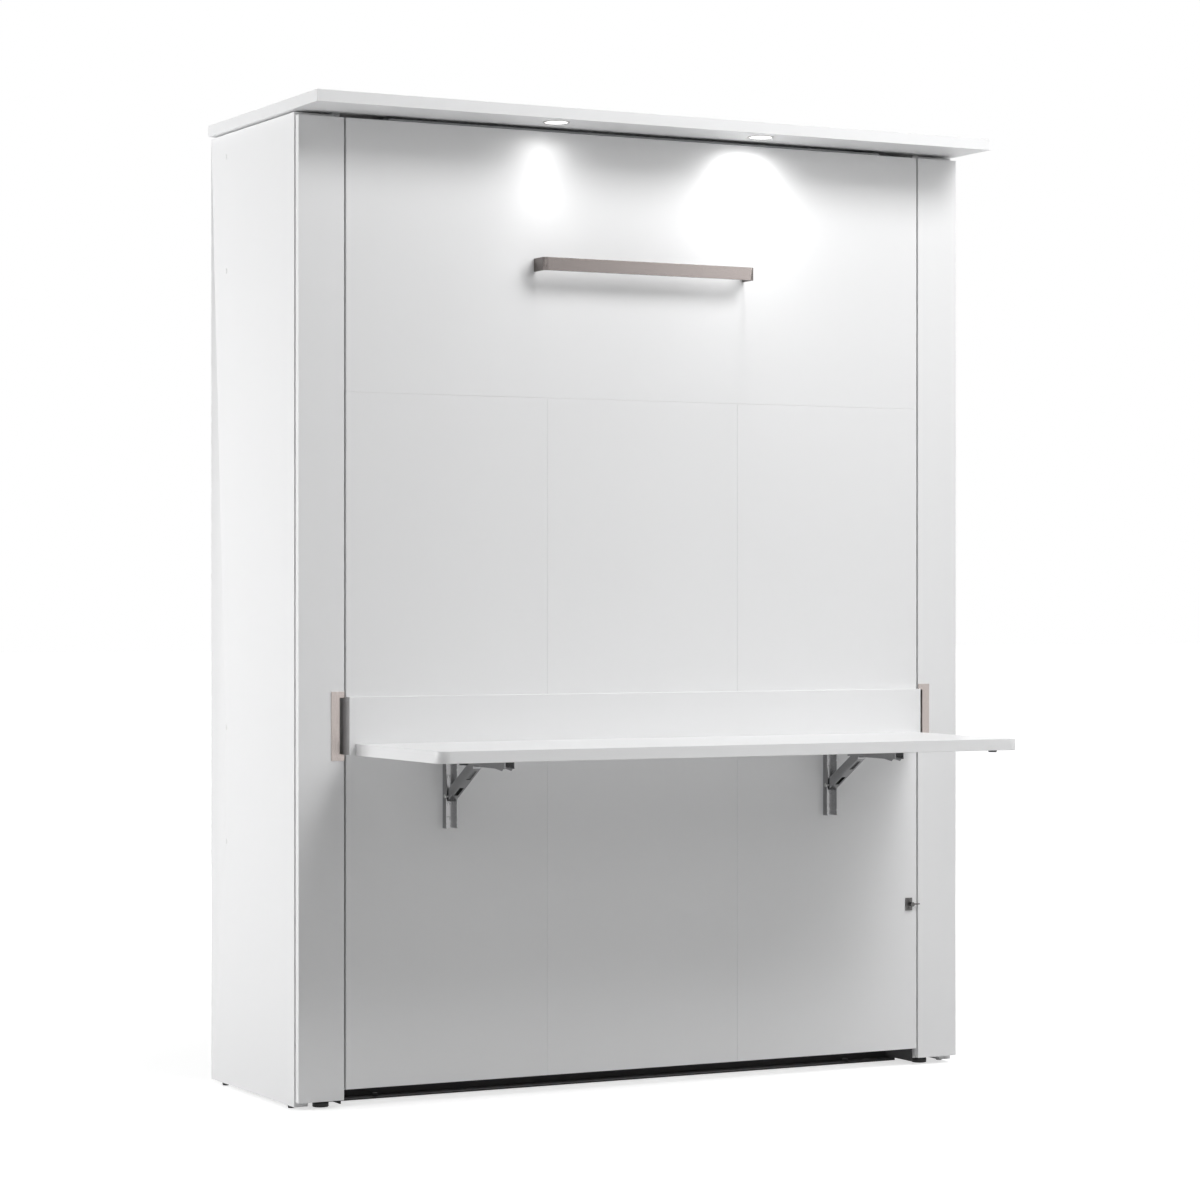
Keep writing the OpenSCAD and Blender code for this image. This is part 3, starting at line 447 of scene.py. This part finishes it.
# ---- Door screws
# Each hinge cup is held in the back of its door by two flat nickel plated screws, above and below
# the cup.
for side in ("left", "right"):
    low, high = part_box(side + "_hinge_cups")
    fasten(side + "_cup_screws", flat_head,
           [(((low.x + high.x) / 2, high.y, z + dz), (0, 1, 0))
            for z in hinge_heights for dz in (-0.0265, 0.0265)],
           side + "_door")


# ---- Edge pulls
# C-shaped plates of warm nickel around a finger slot in the edge of each door. Their faces are
# brushed along the door.
def brushed(name, colour, rough, stretch):
    """Metal with fine lines, long in the direction in which the stretch is short."""
    made = finish(name, colour, rough, 1.0)
    shader = made.node_tree.nodes["Principled BSDF"]
    shader.inputs["Anisotropic"].default_value = 0.5
    texture(made, 40, stretch=stretch, tint=0.06, rough=0.06, bump=0.25, depth=0.00006, detail=6)
    return made


dress(["left_edge_pull", "right_edge_pull"],
      brushed("upright_brushed_nickel", (0.47, 0.42, 0.40), 0.28, (60, 60, 0.8)))
break_edges(["left_edge_pull", "right_edge_pull"], 0.0003)


# ---- Bed face
# One wide panel above a row of three, all of the white melamine board. They are screwed to the
# steel cross tubes of the bed frame.
face = ["face_top_panel", "face_left_panel", "face_middle_panel", "face_right_panel"]
dress(face, melamine)
break_edges(face, 0.0005)


# ---- Seams of the face
# White edge tape stands in the fine seams between the panels, just behind their broken edges. One
# long tape lies under the top panel, and two upright ones beside the middle panel.
tape_back, tape_depth, tape_short = 0.0026, 0.004, 0.001


def seam(name, x, z, width, height):
    """One strip of tape around the middle of a seam, with the rim of its front broken."""
    tape = draw(bpy.ops.mesh.primitive_cube_add, size=1,
                location=(x, front_plane + tape_back, z), scale=(width, tape_depth, height))
    pick_faces(tape, lambda side: side.normal.y < -0.9)
    bpy.ops.mesh.bevel(offset=0.0001, segments=1, affect="EDGES")
    bpy.ops.object.mode_set(mode="OBJECT")
    tape.name = name
    tape.data.materials.append(melamine)
    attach(tape, "bed")


low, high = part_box("face_middle_panel")
top_low, top_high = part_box("face_top_panel")
gap = top_low.z - high.z
seam("long_seam_tape", 0, high.z + gap / 2, top_high.x - top_low.x - tape_short, gap)
for name, x in (("left_seam_tape", low.x - gap / 2), ("right_seam_tape", high.x + gap / 2)):
    seam(name, x, (low.z + high.z) / 2, gap, high.z - low.z - tape_short)


# ---- Pull bar
# A strip of warm nickel, brushed along its length and bent to a shallow U. It is screwed to the top
# panel from behind.
dress(["pull_bar"], brushed("level_brushed_nickel", (0.19, 0.17, 0.163), 0.22, (0.8, 60, 60)))
break_edges(["pull_bar"], 0.0006)


# ---- Bed frame
# Rails of the white board around grey coated steel tubes. Bowed slats of laminated beech lie in
# black plastic sleeves, which are fixed to the side rails.
frame_boards = ["left_side_rail", "right_side_rail", "head_rail", "foot_rail"]
dress(frame_boards, melamine)
break_edges(frame_boards, 0.0007)
tube_coat = finish("tube_coat", (0.20, 0.205, 0.21), 0.45)
texture(tube_coat, 1400, tint=0.05, rough=0.08, bump=0.5, depth=0.0001)
dress(["cross_tubes"], tube_coat)
break_edges(["cross_tubes"], 0.001)
beech = finish("beech_veneer", (0.66, 0.47, 0.29), 0.4)
texture(beech, 6, stretch=(1.2, 14, 14), tint=0.16, rough=0.08, detail=8)
texture(beech, 60, stretch=(0.8, 14, 14), tint=0.07, bump=0.25, depth=0.0001)
dress(["slats"], beech)
break_edges(["slats"], 0.0012)


# ---- Bed screws
# Flat screws join the corners of the frame and the ends of its cross tubes. Pan head screws hold
# its pivot plates to the side rails.
rail_low, rail_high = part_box("right_side_rail")
end_board_middle = 0.009                        # from the end of a side rail
tube_heights = (0.260, 0.704, 1.160, 1.527, 1.8175)
tube_middle_y = rail_low.y + 0.010
bed_plate_t = 0.004
frame_seats = []
for side in sides:
    for z in (rail_low.z + end_board_middle, rail_high.z - end_board_middle):
        frame_seats += [((side * rail_high.x, rail_low.y + dy, z), (side, 0, 0))
                        for dy in (0.014, 0.046)]
    for z in tube_heights:
        frame_seats.append(((side * rail_high.x, tube_middle_y, z), (side, 0, 0)))
fasten("frame_screws", flat_head, frame_seats, "bed")
fasten("bed_plate_screws", pan_head,
       [((side * (rail_high.x + bed_plate_t), front_plane + y, pivot_at.z + dz), (side, 0, 0))
        for side in sides for y in (0.028, 0.048) for dz in (-0.058, 0.058)],
       "bed")


# ---- Desk
# A thick melamine board with rounded front corners, and a low back rail of the same board. The
# rail is fixed to the bed face and stays there when the desktop folds down.
dress(["desktop", "desk_back_rail"], melamine)
break_edges(["desktop", "desk_back_rail"], 0.0009)


# ---- Folding brackets
# Legs, arms and struts pressed from zinc plated steel sheet and riveted together. A black plastic
# lever in the end of each arm releases the strut.
zinc = finish("zinc_sheet", (0.33, 0.33, 0.335), 0.24, 1.0)
texture(zinc, 60, tint=0.03, rough=0.02)
texture(zinc, 900, tint=0.02, rough=0.03, bump=0.04, depth=0.00005)
dress(["left_bracket_leg", "right_bracket_leg", "left_bracket_arm", "right_bracket_arm",
       "left_strut", "right_strut"], zinc)
dress(["left_release", "right_release"], glide)
break_edges(["left_release", "right_release"], 0.0005)


# ---- Bracket screws
# Slim flat screws, plated as the sheet is, hold the web of each leg to the bed face and the sheet
# of each arm to the desktop.
bracket_sheet, arm_hinge_y = 0.0016, 0.0085
leg_seats, arm_seats = [], []
for side in ("left", "right"):
    low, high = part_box(side + "_bracket_leg")
    leg_seats += [(((low.x + high.x) / 2, high.y - bracket_sheet, z), (0, -1, 0))
                  for z in (low.z + 0.022, low.z + 0.052, high.z - 0.046)]
    low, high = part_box(side + "_bracket_arm")
    arm_seats += [(((low.x + high.x) / 2, high.y - arm_hinge_y - y, high.z - bracket_sheet),
                   (0, 0, -1)) for y in (0.060, 0.150, 0.240)]
slim_head = screw_head(0.0038, 0.0004, zinc)
fasten("leg_screws", slim_head, leg_seats, "bed")
fasten("arm_screws", slim_head, arm_seats, "desk")


# ---- Latch
# A small plate of dark steel, screwed to the bed face beside the right door. Its knob turns a thin
# rod that reaches across to the edge of the door.
dark_steel = finish("dark_steel", (0.115, 0.113, 0.112), 0.38, 1.0)
texture(dark_steel, 300, tint=0.08, rough=0.06)
dress(["latch_plate", "latch_lever"], dark_steel)
break_edges(["latch_plate", "latch_lever"], 0.0003)
latch_head = screw_head(0.0032, 0.0014, dark_steel)
low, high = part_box("latch_plate")
fasten("latch_screws", latch_head,
       [(((low.x + high.x) / 2, low.y, (low.z + high.z) / 2 + dz), (0, -1, 0))
        for dz in (-0.010, 0.010)], "bed")
for pattern in (pan_head, flat_head, black_head, wall_head, slim_head, latch_head, bolt):
    bpy.data.objects.remove(pattern)


# ---- Gas springs
# Steel cylinders in gloss black paint with bright rods, one on each side between the divider and
# the bed frame. They turn on studs and carry part of the bed's weight.
gloss_black = finish("cylinder_paint", (0.02, 0.02, 0.022), 0.22)
texture(gloss_black, 500, tint=0.05, rough=0.04)
dress(["left_gas_cylinder", "right_gas_cylinder"], gloss_black)
dress(["left_gas_rod", "right_gas_rod"], nickel)


# ---- Mattress
# A foam core in a knit cover. Both panels are quilted in diamonds, the border has two sewn channels
# and the edges are piped. A short cloth run blows the cover out before it is sewn down.
ticking = finish("ticking", (0.80, 0.795, 0.77), 0.85)
ticking_shader = ticking.node_tree.nodes["Principled BSDF"]
ticking_shader.inputs["Sheen Weight"].default_value = 0.25
ticking_shader.inputs["Sheen Roughness"].default_value = 0.4
texture(ticking, 7, tint=0.02, detail=3)
texture(ticking, 420, stretch=(1, 1, 2.4), tint=0.05, bump=0.35, depth=0.0004, detail=2)
texture(ticking, 1500, tint=0.03, bump=0.3, depth=0.0002)

low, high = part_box("mattress")
core = (low + high) / 2
size = high - low
slack = 0.012                                   # the start shape is this much smaller
cover = bpy.data.objects.new("mattress_cover", parts["mattress"].data.copy())
bpy.context.scene.collection.objects.link(cover)
cover.data.materials.clear()
cover.data.materials.append(ticking)
shrink = Matrix.Diagonal([1 - slack / length for length in size] + [1])
cover.data.transform(Matrix.Translation(core) @ shrink @ Matrix.Translation(-core))
bpy.ops.object.select_all(action="DESELECT")
cover.select_set(True)
bpy.context.view_layer.objects.active = cover
bpy.ops.object.mode_set(mode="EDIT")
bpy.ops.mesh.select_all(action="SELECT")
bpy.ops.mesh.remove_doubles(threshold=0.00001)
bpy.ops.object.mode_set(mode="OBJECT")
even = cover.modifiers.new("even", "REMESH")
even.mode = "VOXEL"
even.voxel_size = 0.0165
bpy.ops.object.modifier_apply(modifier="even")
swell_frames, most_moved = 20, 0.009
swell = cover.modifiers.new("swell", "CLOTH")
swell.settings.quality = 3
swell.settings.mass = 0.4
swell.settings.use_pressure = True
swell.settings.uniform_pressure_force = 4
swell.settings.effector_weights.gravity = 0
swell.point_cache.frame_start = 1
swell.point_cache.frame_end = swell_frames
for step in range(1, swell_frames + 1):
    bpy.context.scene.frame_set(step)
blown = cover.evaluated_get(bpy.context.evaluated_depsgraph_get())
places = [point.co.copy() for point in blown.data.vertices]
cover.modifiers.remove(swell)
bpy.context.scene.frame_set(1)
for point, place in zip(cover.data.vertices, places):
    moved = place - point.co
    if moved.length > most_moved:
        moved *= most_moved / moved.length
    point.co += moved
fine = cover.modifiers.new("fine", "SUBSURF")
fine.levels = fine.render_levels = 1
bpy.ops.object.modifier_apply(modifier="fine")

pitch, stitch_w, stitch_depth = 0.118, 0.011, 0.006
plain_edge, quilt_fade = 0.020, 0.030           # no stitch at the rim, then a soft start
channel_w, channel_depth, channel_at = 0.007, 0.0035, (-0.17, 0.17)
outwards = [point.normal.copy() for point in cover.data.vertices]
for point, normal in zip(cover.data.vertices, outwards):
    place = point.co - core
    if abs(normal.y) > 0.6:
        sewn = 0.0
        for along in ((place.x + place.z) / math.sqrt(2), (place.x - place.z) / math.sqrt(2)):
            off = (along + pitch / 2) % pitch - pitch / 2
            sewn = max(sewn, math.exp(-(off / stitch_w) ** 2))
        edge = min(size.x / 2 - abs(place.x), size.z / 2 - abs(place.z))
        sewn *= min(1, max(0, (edge - plain_edge) / quilt_fade))
        point.co -= normal * stitch_depth * sewn
    elif abs(normal.y) < 0.35:
        for share in channel_at:
            off = place.y - share * size.y
            point.co -= normal * channel_depth * math.exp(-(off / channel_w) ** 2)
    point.co.y = max(point.co.y, low.y + 0.0002)
bpy.ops.object.shade_smooth()
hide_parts("mattress")
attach(cover, "bed")

piping_cloth = finish("piping_cloth", (0.46, 0.45, 0.43), 0.8)
texture(piping_cloth, 900, tint=0.08, bump=0.5, depth=0.0003)
skin = BVHTree.FromObject(cover, bpy.context.evaluated_depsgraph_get())
corner, arc_steps, piping_pitch, piping_r = 0.070, 14, 0.02, 0.0036
for name, y in (("lower_piping", low.y + 0.012), ("upper_piping", high.y - 0.024)):
    path = []
    for quarter in range(4):
        flip_x = 1 if quarter in (0, 3) else -1
        flip_z = 1 if quarter < 2 else -1
        arc_x = core.x + flip_x * (size.x / 2 - corner)
        arc_z = core.z + flip_z * (size.z / 2 - corner)
        for step in range(arc_steps + 1):
            turn = math.radians(90 * (quarter + step / arc_steps))
            path.append(Vector((arc_x + corner * math.cos(turn), y,
                                arc_z + corner * math.sin(turn))))
    full = []
    for start, end in zip(path, path[1:] + path[:1]):
        stretches = max(1, round((end - start).length / piping_pitch))
        full += [start.lerp(end, step / stretches) for step in range(stretches)]
    seat = [skin.find_nearest(point)[0] for point in full]
    for smoothing in range(4):
        seat = [(seat[i - 1] + 2 * seat[i] + seat[(i + 1) % len(seat)]) / 4
                for i in range(len(seat))]
    line = bpy.data.curves.new(name, "CURVE")
    line.dimensions = "3D"
    line.bevel_depth = piping_r
    line.bevel_resolution = 3
    run = line.splines.new("POLY")
    run.points.add(len(seat) - 1)
    for point, place in zip(run.points, seat):
        point.co = (*place, 1)
    run.use_cyclic_u = True
    piping = bpy.data.objects.new(name, line)
    bpy.context.scene.collection.objects.link(piping)
    bpy.ops.object.select_all(action="DESELECT")
    piping.select_set(True)
    bpy.context.view_layer.objects.active = piping
    bpy.ops.object.convert(target="MESH")
    bpy.ops.object.shade_smooth()
    piping = bpy.context.object
    piping.name = name
    piping.data.materials.clear()
    piping.data.materials.append(piping_cloth)
    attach(piping, "bed")


# ---- Broken edges
# The edge modifiers of the CAD nodes are shown from here on.
for piece in parts.values():
    for step in piece.modifiers:
        step.show_viewport = True
